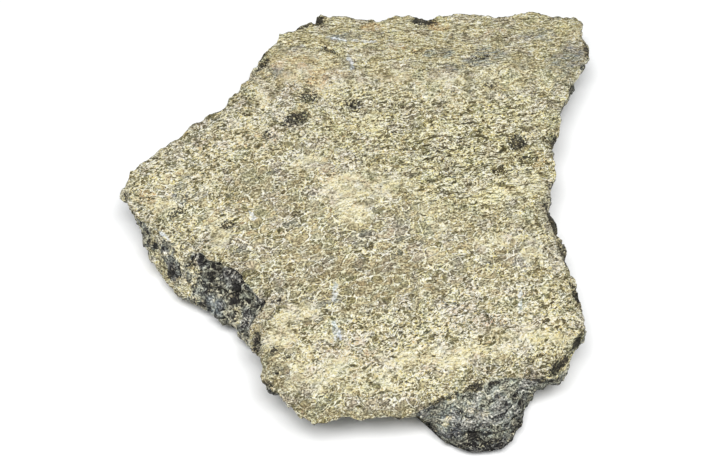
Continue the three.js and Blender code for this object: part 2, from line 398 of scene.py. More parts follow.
# The wall between them. Its lean is a power of the way down to the belly: below 1 it shelves out
# under the rim, above 1 it drops first and spreads at the foot, as it does in the bite.
depth = np.linspace(0, 1, wall_rows + 1)[:, None]
power = np.where(leans_out, 0.85 + 0.7 * bite - 0.3 * ledge - 0.25 * lobe, 1.5)
belly_depth = 1 - belly_height / thickness
lean = np.clip(depth / belly_depth, 0, 1)**power
wall_x = mix(rim_x, belly_x, lean)
wall_y = mix(rim_y, belly_y, lean)
below = np.clip((depth - belly_depth) / (1 - belly_depth), 0, 1)
wall_x = mix(wall_x, foot_x, below**2) - facing[0] * tuck * below**2
wall_y = mix(wall_y, foot_y, below**2) - facing[1] * tuck * below**2
top_z = walk_round(face_z)
low_z = walk_round(under_z)
low_z = np.interp(np.arange(columns) / 2, np.arange(len(low_z) + 1), np.append(low_z, low_z[0]))
wall_z = mix(top_z, low_z, depth)
out, hollow_shade = stands_out(wall_x, wall_y, wall_z)
inner = smooth(depth, 0, 0.05) * smooth(1 - depth, 0, 0.05)
out = mix(mix(rim_out, foot_out, np.round(depth)), np.clip(out, -4.5, 1.8), inner)
wall_x = wall_x + facing[0] * out
wall_y = wall_y + facing[1] * out
hollow_shade = hollow_shade * inner

# One mesh: the upper face's vertices, the wall's rows below the rim, then the underside's.
face_grid = np.arange(face_x.size).reshape(face_x.shape)
wall_grid = face_x.size + np.arange(wall_rows * columns).reshape(wall_rows, columns)
under_grid = wall_grid[-1, -1] + 1 + np.arange(under_x.size).reshape(under_x.shape)


def join(face, wall, under):
    """One value for each vertex, from a number or a grid for each of the face, the wall below the rim
    and the underside."""
    parts = ((face, face_x), (wall, wall_x[1:]), (under, under_x))
    return np.concatenate([np.broadcast_to(part, like.shape).ravel() for part, like in parts])


def quads(grid):
    """The four corners of each cell of a grid of vertex numbers, in the order that faces up where the
    grid's rows run towards the viewer."""
    return np.stack([grid[:-1, :-1], grid[1:, :-1], grid[1:, 1:], grid[:-1, 1:]], axis=-1).reshape(-1, 4)


wall_loop = np.vstack([walk_round(face_grid), wall_grid])
wall_loop = np.hstack([wall_loop, wall_loop[:, :1]])
# The foot: every second wall vertex meets one of the underside's, and three triangles join each pair.
foot = wall_loop[-1]
under = walk_round(under_grid)
under = np.append(under, under[0])
stitches = np.concatenate([
    np.stack([foot[:-1:2], foot[1::2], under[:-1]], axis=-1),
    np.stack([foot[1::2], under[1:], under[:-1]], axis=-1),
    np.stack([foot[1::2], foot[2::2], under[1:]], axis=-1),
])
faces = quads(face_grid).tolist() + quads(wall_loop)[:, ::-1].tolist()
faces += quads(under_grid)[:, ::-1].tolist() + stitches.tolist()

slab_mesh = bpy.data.meshes.new("bone_slab")
x = join(face_x, wall_x[1:], under_x)
y = join(face_y, wall_y[1:], under_y)
z = join(face_z, wall_z[1:], under_z)
places = np.stack([x - box_middle[0], y - box_middle[1], z], axis=-1) / 1000
# The roughness keeps 0.02 mm inside the part's own box.
places = np.clip(places, np.array(cad_box[0]) + 2e-5, np.array(cad_box[1]) - 2e-5)
slab_mesh.from_pydata(places.tolist(), [], faces)
slab_mesh.validate()
slab_mesh.update()
slab_mesh.shade_smooth()
slab = bpy.data.objects.new("bone_slab", slab_mesh)
bpy.context.scene.collection.objects.link(slab)

# Marks on the surface, for the material to read: 0 to 1 at every vertex, but for "vein" and "height",
# which are in mm, and "level", which counts layers.
is_face = join(1, 0, 0)
open_cells = [
    (-10, -13, 42, 26, 20, 1.0), (22, -18, 45, 13, 12, 0.95), (-27, 14, 26, 15, 25, 0.8),
    (20, 12, 28, 14, 10, 0.5), (-55, 8, 14, 10, 20, 0.5), (30, -2, 34, 12, 10, 0.6),
    (-14, -64, 13, 7, -30, 0.6), (12, -67, 14, 5, 0, 0.6), (-22, -52, 5, 9, 20, 0.6),
    (38, -54, 16, 5, 10, 0.45), (42, 24, 32, 15, 5, 0.55), (14, 38, 26, 9, 0, 0.5),
]
slits = [
    (42, 26, 34, 24, 5, 1.0), (12, 38, 30, 12, 0, 0.9), (60, 12, 14, 14, 0, 0.6), (62, 46, 18, 9, 0, 0.7),
]
# Where the stone is paler and closer grained, and where it is browner, bluer, yellower and so on. The
# brown spots along the near rim, at y about -70, are painted shade along that edge.
pale_spots = [
    (-3, 11, 10, 7, 20, 1.0), (0, 1, 6, 5, 0, 1.0), (-15, 21, 8, 4, 15, 0.8), (6, 36, 6, 4, 0, 0.8),
    (45, 9, 9, 4, 0, 1.0), (58, 13, 6, 5, 0, 1.0), (-17, -36, 7, 4, 0, 1.0), (-22, -42, 6, 8, 0, 0.8),
    (-7, -47, 16, 4, 0, 0.6), (-1, -56, 22, 6, 0, 0.7), (-14, -61, 9, 4, 0, 0.8),
    (26, -52, 22, 5, 8, 0.8), (12, 59, 10, 4, -10, 0.8), (-19, 64, 9, 5, 0, 0.7),
    (-8, 54, 6, 3, 0, 0.7), (52, -45, 11, 5, 20, 0.8), (47, -9, 10, 5, 0, 0.7), (28, -5, 8, 4, 0, 0.6),
    (43, 48, 15, 3, 5, 0.6), (-44, -7, 4, 7, 0, 0.9), (-46, 13, 5, 4, 0, 0.6), (-63, 4, 6, 4, 0, 0.8),
    (66, -13, 4, 12, 0, 0.6), (10, 12, 8, 5, 10, 0.9), (6, 38, 5, 4, 0, 0.9), (-39, 34, 6, 5, 30, 0.7),
    (-24, -45, 6, 6, 0, 0.9), (43, -44, 6, 4, 0, 0.8), (7, -53, 9, 4, 0, 0.7), (-17, -60, 6, 3, 0, 0.6),
    (5, -62, 12, 3, 0, 0.7), (-1, 55, 7, 3, 0, 0.7), (31, 56, 10, 3, 0, 0.8), (-30, 50, 6, 5, 50, 0.7),
    (-20, 60, 9, 5, 30, 0.8), (58, -14, 5, 6, 0, 0.7), (59, 35, 6, 5, 0, 0.6), (-28, 35, 6, 5, 0, 0.6),
    (27, 35, 7, 4, 0, 0.6), (17, 12, 8, 5, 0, 0.6), (28, 2, 8, 4, 0, 0.6), (66, -45, 5, 3, 0, 0.8),
    (50, -44, 7, 4, 0, 0.7),
]
brown_and_rim_shade_spots = [
    (-34, 13, 9, 6, 20, 0.7), (-21, 4, 6, 6, 30, 0.7), (-14, -13, 9, 3, 0, 1.0),
    (-4, -20, 15, 3.5, 5, 1.0), (13, -19, 11, 3.5, 10, 1.0), (7, -27, 9, 3.5, 0, 1.0),
    (2, -35, 10, 3, 10, 0.8), (26, -27, 4, 3, 0, 0.9), (17, -11, 5, 3, 0, 0.6), (-5, 35, 5, 3, 0, 0.8),
    (58, 67, 6, 4, 0, 0.8), (61, 1, 5, 6, 0, 0.6), (51, 25, 8, 5, 10, 1.0), (-17, -25, 9, 3, 10, 0.8),
    (47, -23, 7, 3, 0, 0.6), (-37, 1, 6, 5, 0, 0.5), (31, -21, 11, 4, 10, 0.5),
    (-17, -12, 6, 3, 10, 0.8), (14, -24, 7, 3, 0, 0.8), (58, 64, 6, 4, 0, 1.0),
    (-14, -71, 7, 3, -20, 0.9), (-1, -70.5, 10, 2.5, 0, 0.9), (12, -70.5, 9, 2.5, 0, 0.9),
    (-24, -57, 5, 8, 30, 0.9), (-14, -67, 6, 3, -20, 0.6), (52, -57, 8, 2, 0, 0.4),
    (-10, -52, 7, 4, 0, 0.6),
]
blue_spots = [
    (-3, 78, 7, 3, 0, 0.9), (30, 69, 6, 3, 0, 1.0), (44, 65, 7, 3, 5, 1.0), (35, 62, 5, 2, 0, 0.9),
    (66, 78, 8, 4, 0, 0.8), (72, 63, 6, 6, 0, 0.9), (25, 25, 8, 3, 10, 1.0), (-56, 10, 4, 6, 0, 1.0),
    (-42, 1, 2.5, 4, 0, 0.8), (17, 2, 3, 5, 0, 0.7), (-8, -32, 3.5, 3, 0, 0.9), (13, -42, 3, 3, 0, 0.8),
    (7, -46, 5, 2, 0, 0.7), (29, -33, 4, 3, 0, 0.8), (55, -18, 5, 4, 0, 0.8), (-26, 59, 6, 3, 0, 0.9),
    (-30, 40, 3, 4, 0, 0.6), (12, 35, 4, 3, 0, 0.8), (32, 17, 12, 3, 0, 0.8), (-19, 72, 5, 3, 0, 0.7),
    (-45.5, -26, 4, 2.5, -40, 1.0), (29, -68, 7, 6, 0, 0.6), (24, -42, 7, 3, 0, 0.6),
    (52, -28, 7, 5, 0, 0.5), (47, 68, 7, 4, 0, 1.0), (76, 68, 5, 7, 0, 0.9),
]
yellow_spots = [
    (50, 31, 13, 8, 0, 0.7), (36, 26, 8, 4, 0, 0.6), (45, 29, 8, 4, 5, 0.9), (54, 20, 6, 3, 10, 0.9),
    (42, 17, 5, 3, 0, 0.7), (-62, -15, 6, 6, 0, 1.0), (20, 78, 6, 4, 0, 0.9), (-3, -62, 9, 3, 0, 0.6),
    (31, -58, 6, 3, 0, 0.7), (66, 78, 8, 5, 0, 0.4), (76, 80, 5, 5, 0, 1.0), (60, -45, 12, 5, -60, 0.4),
    (-28, 70, 4, 5, 60, 0.8), (60, 8, 9, 5, 0, 0.6),
]
orange_spots = [
    (6, 83, 4, 2.5, 0, 1.0), (30, 82.5, 5, 2.5, 0, 0.8), (-69, 8, 4, 3, 0, 0.9),
    (-13, 56, 6, 4, 60, 0.9), (8.7, 26.5, 5, 3, 0, 0.6), (3.5, -26, 4, 3, 0, 0.6),
    (42, -39, 8, 3, 10, 0.6), (-11, 16, 5, 3, 20, 0.6), (63, 23, 6, 4, 10, 0.8),
    (-40, 4, 8, 3, 25, 0.5), (-35, 30, 7, 4, 20, 0.5), (-21, 64, 9, 4, 10, 0.6),
    (20, 72, 10, 3, 0, 0.5), (50, 80, 8, 3, 0, 0.5),
]
pink_spots = [
    (-17, -42, 10, 6, 0, 0.5), (-1, -49, 10, 5, 0, 0.7), (36, -38, 9, 5, 0, 0.9),
    (15.5, 28.6, 8, 5, 0, 0.7), (25, 46, 14, 6, 0, 0.8), (8, 56, 10, 4, 0, 0.7),
    (50, -30, 8, 6, 0, 0.6), (-48, 30, 10, 5, 30, 0.6), (-24, 55, 8, 7, 0, 0.7),
]
# Pale flakes on the walls.
wall_flakes = [
    (39, -67.6, 5, 0.9, 8, 0.6), (51.4, -65, 2.4, 1.5, 0, 1.0), (-56.4, -10.2, 1.8, 3.4, 0, 1.0),
    (-65.8, -5, 2.5, 4, 30, 1.0), (-56.3, -13.6, 2.6, 1.2, -60, 1.0), (-52.9, -15.6, 4, 1.4, -35, 0.9),
    (-37.5, -30.5, 2.5, 2, -40, 0.6), (58, -58.5, 4, 1.2, 0, 0.6), (66.5, -51, 4, 1.5, 55, 0.6),
    (-62.5, -8, 2, 3, 0, 0.7), (28, -69, 4, 1.2, 30, 0.5),
]
# Where the walls are painted blackest: partly the crust's own soot, partly painted shade under the rim
# of the left ledge, in dents and in the lobe's hollows.
soot_and_shade_patches = [
    (-59.7, -9.2, 2.6, 3.2, 0, 1.0), (-50, -12, 7, 2.6, -30, 0.3), (-40, -20, 4, 3, 0, 0.5),
    (-47, -16.5, 3.5, 2, 0, 0.4), (-33, -31, 3, 6, 20, 0.9), (44, -75, 12, 3.5, 0, 1.0),
    (37.3, -72.4, 3, 1.6, 0, 1.0), (32.2, -71.4, 2.5, 1.2, 0, 1.0), (48, -66, 3, 2, 30, 0.8),
    (41, -60.5, 4, 1.2, 10, 0.8), (-62, -10.5, 2, 1.5, 0, 0.8), (25, -68, 4, 1.5, 0, 0.7),
    (-69.5, -2.5, 4, 1, -42, 0.8), (-64, -8, 3, 0.8, -38, 0.5), (-59.4, -14.5, 2.6, 1.6, -40, 1.0),
    (-74.5, 3, 3, 1, -60, 0.8), (59, -61, 8, 3, 20, 1.0), (52, -67, 3.5, 6, 0, 1.0),
    (63, -55.5, 5, 2.5, 30, 0.9),
]
# Bluish white veins: x and y of each stretch's ends.
veins = [
    (-9.2, 78, -6, 77.1), (-6, 77.1, -3.2, 76.2), (-1, 76.4, 7.4, 74.9), (-2.4, 68.2, -0.7, 64.7),
    (-0.7, 64.7, -1, 61.2), (-6.1, -25.2, -6.3, -31.4), (-6.6, -39.4, -4.1, -45.1),
    (-6.6, -39.4, -5.9, -45.8), (52.8, -28.9, 52.8, -35.8), (-32.7, -0.6, -34.1, 1.8),
    (-64.5, -4.5, -60.5, -8),
]
lip_out, lip_share = lip_distance(x, y)
# Near the rim means the whole face and the top tenth of the walls, but not of the bite or the lobe.
rim_strip = (1 - smooth(depth[1:], 0.0, 0.1)) * (1 - np.maximum(bite, lobe))
near_rim = join(1, rim_strip, 0)
in_bite = patches(x, y, hollow_bite)
in_lobe = patches(x, y, layered_lobe)
plain_cream = 0.3 * (1 - np.maximum(in_bite, in_lobe))
ledge_cream = 0.85 * patches(x, y, cream_ledge) * (1 - in_bite)
far_walls = smooth(y, 60, 80)
skinned = smooth(y + 5 * noise(x / 14, y / 5, z / 8), 50, 66)
marks = {
    "open_cells": patches(x, y, open_cells) * is_face,
    "brown": patches(x, y, brown_and_rim_shade_spots) * is_face,
    "pale": patches(x, y, pale_spots) * is_face,
    "slits": patches(x, y, slits) * is_face,
    "skin": skinned * is_face,
    "crust": np.maximum(1 - is_face, smooth(join(drop, 0, 0), 0.4, 1.1)),
    "hollow_shade": join(0, hollow_shade[1:], 0),
    "dark_stain": patches(x, y, face_pits) * is_face,
    "cream_wall": np.maximum.reduce([
        plain_cream, ledge_cream, 0.8 * near_rim, patches(x, y, wall_flakes),
    ]),
    "chip_black_and_shade": patches(x, y, black_shaded_chips) * near_rim,
    "bitten": in_bite * (1 - is_face),
    "soot_and_shade": patches(x, y, soot_and_shade_patches) * (1 - is_face),
    "vein": np.minimum(line_distance(x, y, veins), 3) + 3 * (1 - near_rim),
    "lip": (1 - smooth(np.abs(lip_out - 0.2), 0.2, 0.9)) * lip_share * is_face,
    "dome": (1 - smooth(lip_out, -3, 0.3)) * smooth(y, 42, 50) * is_face,
    "layered": np.maximum(in_lobe, 0.9 * far_walls) * (1 - is_face),
    "height": z,
    "edge_rough": join(edge_rough, 0, 0),
    "level": layer_level(x, y, z),
    "yellow": patches(x, y, yellow_spots),
    "orange": patches(x, y, orange_spots),
    "pink": patches(x, y, pink_spots),
    "blue": patches(x, y, blue_spots),
}
for name, values in marks.items():
    mark = slab_mesh.attributes.new(name, "FLOAT", "POINT")
    mark.data.foreach_set("value", values.astype(np.float32))

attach(slab, "root")
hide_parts("bone_section")

# The bone's stone, seen on the saw cut: cream bony walls round marrow spaces filled with brown, olive
# and grey mineral. Coarse leaning cells lie at the left and middle, dark slits at the far right, fine
# grain elsewhere and streaky outer bone along the far edge. The broken walls wear a dark crust.
stone = bpy.data.materials.new("fossil_bone")
stone.use_nodes = True
nodes = stone.node_tree.nodes
links = stone.node_tree.links
slab_mesh.materials.append(stone)


def feed(socket, value):
    """Sets a socket to a number or colour, or joins another node's output to it."""
    value = getattr(value, "output", value)
    if isinstance(value, bpy.types.NodeSocket):
        links.new(value, socket)
    else:
        socket.default_value = value


class Reading:
    """A number that varies over the stone. Sums and products of readings add Math nodes."""

    def __init__(self, output):
        self.output = output

    def __add__(self, other):
        return reckon("ADD", self, other)

    def __sub__(self, other):
        return reckon("SUBTRACT", self, other)

    def __rsub__(self, other):
        return reckon("SUBTRACT", other, self)

    def __mul__(self, other):
        return reckon("MULTIPLY", self, other)

    __radd__ = __add__
    __rmul__ = __mul__


def reckon(operation, *values):
    """A Math node of these values."""
    node = nodes.new("ShaderNodeMath")
    node.operation = operation
    for socket, value in zip(node.inputs, values):
        feed(socket, value)
    return Reading(node.outputs[0])


def rise(value, low, high):
    """0 where value is below low and 1 above high, smooth between."""
    node = nodes.new("ShaderNodeMapRange")
    node.interpolation_type = "SMOOTHSTEP"
    feed(node.inputs["Value"], value)
    feed(node.inputs["From Min"], low)
    feed(node.inputs["From Max"], high)
    return Reading(node.outputs["Result"])


def fall(value, low, high):
    """1 where value is below low and 0 above high, smooth between."""
    return 1 - rise(value, low, high)


def marked(name):
    """A mark worked out for each vertex of the slab."""
    node = nodes.new("ShaderNodeAttribute")
    node.attribute_name = name
    return Reading(node.outputs["Fac"])


def cell_space(place, size, turned=0):
    """The place in a pattern whose cells are size millimetres long, wide and high, turned in plan by
    degrees."""
    size = (size,) * 3 if isinstance(size, (int, float)) else size
    node = nodes.new("ShaderNodeMapping")
    node.vector_type = "TEXTURE"
    feed(node.inputs["Vector"], place)
    node.inputs["Rotation"].default_value[2] = math.radians(turned)
    node.inputs["Scale"].default_value = [length / 1000 for length in size]
    return node.outputs["Vector"]


def cloud(place, size, detail=2.0, roughness=0.5, turned=0):
    """Soft noise, mostly 0.35 to 0.65, whose broadest features are size millimetres across."""
    node = nodes.new("ShaderNodeTexNoise")
    feed(node.inputs["Vector"], cell_space(place, size, turned))
    node.inputs["Scale"].default_value = 1
    node.inputs["Detail"].default_value = detail
    node.inputs["Roughness"].default_value = roughness
    return node


def cloudy(place, size, **how):
    """The cloud as one reading."""
    return Reading(cloud(place, size, **how).outputs["Fac"])


def bent(place, size, reach):
    """The place pushed about by up to reach millimetres, in swirls of the given size."""
    push = nodes.new("ShaderNodeVectorMath")
    push.operation = "MULTIPLY_ADD"
    feed(push.inputs[0], cloud(place, size).outputs["Color"])
    push.inputs[1].default_value = (4 * reach / 1000,) * 3
    feed(push.inputs[2], place)
    return push.outputs["Vector"]


def cells(place, size, turned=0):
    """Marrow cells: how far each point is from its cell's wall, 0 to about 0.5, and two random numbers
    per cell."""
    spot = cell_space(place, size, turned)
    rim = nodes.new("ShaderNodeTexVoronoi")
    rim.feature = "DISTANCE_TO_EDGE"
    body = nodes.new("ShaderNodeTexVoronoi")
    for node in (rim, body):
        feed(node.inputs["Vector"], spot)
        node.inputs["Scale"].default_value = 1
    split = nodes.new("ShaderNodeSeparateColor")
    feed(split.inputs[0], body.outputs["Color"])
    return Reading(rim.outputs["Distance"]), Reading(split.outputs[0]), Reading(split.outputs[1])


def colour(under, over, share, way="MIX"):
    """The colour under with a share of the colour over."""
    node = nodes.new("ShaderNodeMix")
    node.data_type = "RGBA"
    node.blend_type = way
    sockets = {s.identifier: s for s in node.inputs}
    feed(sockets["Factor_Float"], share)
    for name, value in (("A_Color", under), ("B_Color", over)):
        feed(sockets[name], (*value, 1) if isinstance(value, tuple) else value)
    return node.outputs[2]


def palette(value, *stops):
    """A colour picked by a reading: stops are (reading, colour) pairs."""
    node = nodes.new("ShaderNodeValToRGB")
    feed(node.inputs["Fac"], value)
    ramp = node.color_ramp
    while len(ramp.elements) < len(stops):
        ramp.elements.new(0.5)
    for element, (reading, tone) in zip(ramp.elements, stops):
        element.position = reading
        element.color = (*tone, 1)
    return node.outputs["Color"]


# Colours of the stone, as shares of red, green and blue light sent back.
cream = (0.76, 0.697, 0.482)
pale = (0.90, 0.863, 0.675)
yellow = (0.70, 0.615, 0.33)
orange = (0.62, 0.43, 0.22)
pink = (0.64, 0.53, 0.40)
beige = (0.47, 0.405, 0.25)
tan = (0.308, 0.262, 0.148)
taupe = (0.222, 0.189, 0.10)
olive = (0.212, 0.194, 0.095)
slate = (0.21, 0.203, 0.152)
umber = (0.080, 0.064, 0.026)
russet = (0.222, 0.170, 0.097)
ash = (0.19, 0.215, 0.225)
peat = (0.034, 0.030, 0.012)
soot = (0.012, 0.011, 0.010)
charcoal = (0.05, 0.049, 0.045)
iron = (0.112, 0.115, 0.105)
silver = (0.37, 0.375, 0.32)
moss = (0.20, 0.205, 0.16)
lichen = (0.27, 0.29, 0.235)
honey = (0.70, 0.58, 0.36)
milky_blue = (0.66, 0.70, 0.72)
# Washes, laid over other colours: a share above 0.5 brightens and one below it darkens.
black_wash = (0.06, 0.056, 0.03)
grey_wash = (0.5, 0.5, 0.5)
white_wash = (0.95, 0.95, 0.95)
sand_wash = (0.53, 0.51, 0.38)
sun_wash = (0.55, 0.53, 0.40)
mauve_wash = (0.50, 0.46, 0.55)
blue_wash = (0.46, 0.51, 0.56)
straw_wash = (0.53, 0.51, 0.40)
warm_wash = (0.58, 0.49, 0.38)
moss_wash = (0.47, 0.53, 0.46)

place = nodes.new("ShaderNodeTexCoord").outputs["Object"]
wander = bent(place, 6, 0.8)
frayed = bent(wander, 1.7, 0.42)

broad = cloudy(place, 13, detail=3)
medium = cloudy(place, 4.2, detail=3)
small = cloudy(wander, 1.9, detail=2)
grit = cloudy(place, 0.6, detail=0.5)
speck = cloudy(frayed, 0.62, detail=1)


def blotched(name, low=0.45, high=0.75):
    """A mark whose edge is broken up by the small and medium clouds."""
    return rise(marked(name) * 0.9 + small * 1.1 + medium * 1.1 - 1.05, low, high)


openness = marked("open_cells")
brown = blotched("brown", 0.45, 0.85)
close = blotched("pale", 0.45, 0.85)
slitted = marked("slits")
skin = marked("skin")
crust = marked("crust")
hollow_shade = marked("hollow_shade")
burnt = marked("dark_stain")
creamed = marked("cream_wall")
soot_and_shade = marked("soot_and_shade")

# The bony walls' own colour: cream, going pale, yellow, orange or pink in blotches.
bone = colour(cream, pale, rise(medium + 0.6 * small, 0.82, 1.1) * 0.7)
bone = colour(bone, yellow, rise(broad * 0.6 + medium, 0.83, 0.98) * 0.45)
bone = colour(bone, beige, fall(broad * 0.5 + medium, 0.6, 0.78) * 0.6)
bone = colour(bone, pink, rise(cloudy(place, 5, detail=2), 0.53, 0.7) * 0.6)
bone = colour(bone, yellow, blotched("yellow") * 0.75)
bone = colour(bone, orange, blotched("orange") * 0.7)
bone = colour(bone, pink, blotched("pink") * 0.6)

# What fills the fine spaces.
filling = palette(small * 0.6 + medium * 0.4, (0.38, taupe), (0.46, olive), (0.52, slate), (0.6, beige))
filling = colour(filling, ash, blotched("blue") * 0.7)

# Fine bone everywhere: worm-like walls, filled spaces between them and a dark pore here and there. It
# is packed nearly solid in some places and open in others.
worms = cloudy(frayed, (1.6, 0.85, 0.9), detail=1.5, turned=24)
solid = 0.5 + 0.34 * (0.5 - medium) + 0.2 * (0.5 - broad) + 0.04 * brown + 0.03 * skin - 0.07 * close
filling = colour(filling, umber, rise(worms - solid, -0.10, -0.05) * 0.4)
ground = colour(filling, bone, rise(worms - solid, -0.03, 0.02))
ground = colour(ground, pale, rise(worms - solid, 0.0, 0.03) * fall(worms - solid, 0.03, 0.09) * 0.5)
ground = colour(ground, umber, fall(worms + 0.15 * (small - 0.5), 0.36, 0.40) * 0.9)

# Small cells, some open and some closed.
fine_gap, fine_pick, fine_other = cells(frayed, (2.3, 1.2, 1.2), 18)
fine_cell = rise(fine_other + 0.4 * brown - 0.5 * close + medium - 0.5, 0.45, 0.55) * (1 - skin)
fine = palette(fine_pick, (0.0, umber), (0.2, taupe), (0.45, olive), (0.7, slate), (1.0, beige))
ground = colour(ground, colour(bone, pale, 0.5), fine_cell * fall(fine_gap, 0.07, 0.13) * 0.85)
ground = colour(ground, fine, fine_cell * rise(fine_gap, 0.1, 0.17) * 0.75)

# Coarse open cells, leaning to the right, with thin walls. Inside each cell, painted shade darkens the
# filling next to its walls.
wall_gap, pick, other = cells(frayed, (4.9, 2.5, 2.2), 29)
coarse = palette(pick, (0.0, umber), (0.08, taupe), (0.3, olive), (0.5, tan), (0.62, slate), (0.85, beige))
coarse = colour(coarse, bone, rise(other, 0.4, 1.0) * 0.4)
coarse = colour(coarse, ash, blotched("blue") * 0.5)
coarse = colour(coarse, russet, brown * 0.5)
width = 0.01 + 0.08 * small + 0.03 * close
coarse = colour(coarse, umber, fall(wall_gap, width + 0.04, width + 0.12) * 0.9)
coarse = colour(coarse, bone, rise(cloudy(frayed, (1.6, 0.6, 0.7), detail=1, turned=28), 0.56, 0.62) * 0.6)
cell = rise(openness * 1.1 + 0.9 * other + 1.6 * (medium - 0.5) - 0.5 * close, 0.95, 1.05)
pore = rise(wall_gap, width, width + 0.05) * cell
cell_walls = cell * fall(wall_gap, width + 0.01, width + 0.05)
ground = colour(ground, colour(bone, pale, 0.6), cell_walls * (0.55 + 0.4 * small))
ground = colour(ground, coarse, pore)


def strokes(size, turned, thin, thick, place=frayed):
    """Curling lines along which a cloud crosses its middle value, 0.5. They are 1 where it is less than
    thin from that value and 0 where it is more than thick from it."""
    return fall(reckon("ABSOLUTE", cloudy(place, size, detail=0.5, turned=turned) - 0.5), thin, thick)


# Browner and paler blotches, the browner ones along the near rim being painted shade, then thin
# curling walls and cracks in broken stretches, fainter inside the coarse cells, and nicks in the worn
# band along the rim.
ground = colour(ground, tan, brown * 0.4)
ground = colour(ground, bone, close * 0.4)
busy = 1 - 0.65 * pore
walls = strokes((3.1, 1.5, 1.5), 31, 0.012, 0.05) * rise(medium + 0.6 * (small - 0.5), 0.44, 0.54)
cracks = strokes((3.6, 1.3, 1.4), 24, 0.010, 0.042) * rise(small + 0.6 * (medium - 0.5), 0.5, 0.58)
splits = strokes((2.4, 0.9, 1.0), 38, 0.008, 0.04) * fall(small + 0.4 * (broad - 0.5), 0.42, 0.5)
ground = colour(ground, pale, walls * busy * (1 - 0.6 * skin) * 0.9)
ground = colour(ground, umber, cracks * busy * (1 - 0.7 * close) * 0.85)
ground = colour(ground, umber, splits * busy * (1 - 0.7 * close) * 0.8)
nicks = strokes((2.6, 0.8, 1.0), 12, 0.010, 0.045) * rise(small + 0.5 * (broad - 0.5), 0.47, 0.54)
ground = colour(ground, umber, nicks * marked("edge_rough") * 0.85)

# Dark slits at the far right, with bright needles and shards of bone and thin dark gashes and cuts
# between them.
swept = bent(place, 5, 0.9)
slit = fall(cloudy(swept, (4.6, 1.0, 1.0), detail=1, turned=9), 0.385, 0.41)
needles = strokes((3.2, 1.1, 1.1), 2, 0.016, 0.04, swept)
gashes = strokes((3.8, 1.3, 1.3), 16, 0.015, 0.036, swept) * rise(medium, 0.47, 0.53)
shards = strokes((2.6, 1.0, 1.0), 150, 0.017, 0.045, swept)
shards = shards * rise(small + 0.4 * (medium - 0.5), 0.46, 0.53)
cuts = strokes((2.8, 1.0, 1.0), 36, 0.015, 0.04, swept)
cuts = cuts * fall(small + 0.4 * (medium - 0.5), 0.44, 0.52)
ground = colour(ground, pale, needles * slitted * 0.95)
ground = colour(ground, pale, shards * slitted * 0.95)
ground = colour(ground, umber, gashes * slitted)
ground = colour(ground, umber, cuts * slitted)
ground = colour(ground, palette(medium, (0.42, peat), (0.52, umber), (0.6, olive)), slit * slitted * 0.85)
ground = colour(ground, sand_wash, slitted * 0.4, way="OVERLAY")

# Outer bone along the far edge, in long thin streaks.
streak = cloudy(wander, (5, 0.7, 0.8), detail=2.5, roughness=0.65, turned=3)
outer = 0.6 * streak + 0.4 * cloudy(frayed, (1.1, 0.55, 0.7), detail=1)
outer = outer + 0.15 * (medium - 0.5)
outer = palette(
    outer, (0.41, umber), (0.45, olive), (0.48, tan), (0.505, beige), (0.535, cream), (0.58, pale),
)
outer = colour(outer, bone, 0.15)
outer = colour(outer, ash, fall(broad + 0.5 * medium, 0.68, 0.82) * 0.1)
outer = colour(outer, sun_wash, 0.35, way="OVERLAY")
outer = colour(outer, honey, marked("dome") * 0.35)
outer = colour(outer, orange, blotched("orange") * 0.45)
outer = colour(outer, yellow, blotched("yellow") * 0.4)
threads = strokes((6, 0.9, 0.9), 2, 0.012, 0.045, wander) * rise(small, 0.46, 0.54)
creases = strokes((6, 1.0, 1.0), 5, 0.010, 0.04, wander) * fall(small, 0.5, 0.57)
outer = colour(outer, pale, threads * 0.85)
outer = colour(outer, umber, creases * 0.9)
outer = colour(outer, ash, blotched("blue", 0.4, 1.0) * rise(streak, 0.4, 0.6) * 0.9)
outer = colour(outer, taupe, brown * rise(streak, 0.4, 0.6) * 0.7)
ground = colour(ground, outer, skin * 0.85)

# Clusters of black specks.
ground = colour(ground, soot, rise(burnt + (0.5 - speck) * 4, 0.4, 0.75) * rise(burnt, 0.1, 0.4) * 0.9)
ground = colour(ground, soot, fall(speck, 0.28, 0.33) * 0.85)

# The broken walls: charcoal crust with pale curling seams and black chinks, with painted shade in its
# hollows, clefts and dents, cream near the rim and on the left ledge. On the lobe and the far wall it
# is in thin grey and greenish layers instead.
layered = marked("layered")
bitten = marked("bitten")
chip_black_and_shade = marked("chip_black_and_shade") + 2.2 * (speck - 0.5) + 1.4 * (small - 0.5) + grit - 0.5
chip_black_and_shade = rise(chip_black_and_shade, 0.5, 0.75)
# Dark and pale bands, one above another up the layers.
seam = nodes.new("ShaderNodeTexNoise")
seam.noise_dimensions = "1D"
seam.inputs["Scale"].default_value = 2.6
seam.inputs["Detail"].default_value = 4
seam.inputs["Roughness"].default_value = 0.75
feed(seam.inputs["W"], marked("level") + 0.4 * (small - 0.5))
seam = Reading(seam.outputs["Fac"])
flakes = cloudy(frayed, (1.4, 1.4, 0.8), detail=2, roughness=0.65)
curls = strokes((3.2, 3.2, 2.2), 10, 0.010, 0.04 + 0.03 * bitten)
curls = curls * rise(small + 0.5 * (medium - 0.5), 0.46, 0.54)
chinks = strokes((2.6, 2.6, 1.6), 50, 0.012, 0.05) * fall(small + 0.5 * (medium - 0.5), 0.48, 0.56)
shade = flakes * 1.2 + 0.8 * (grit - 0.5) + 1.0 * (medium - 0.5) + 0.4 * (broad - 0.5)
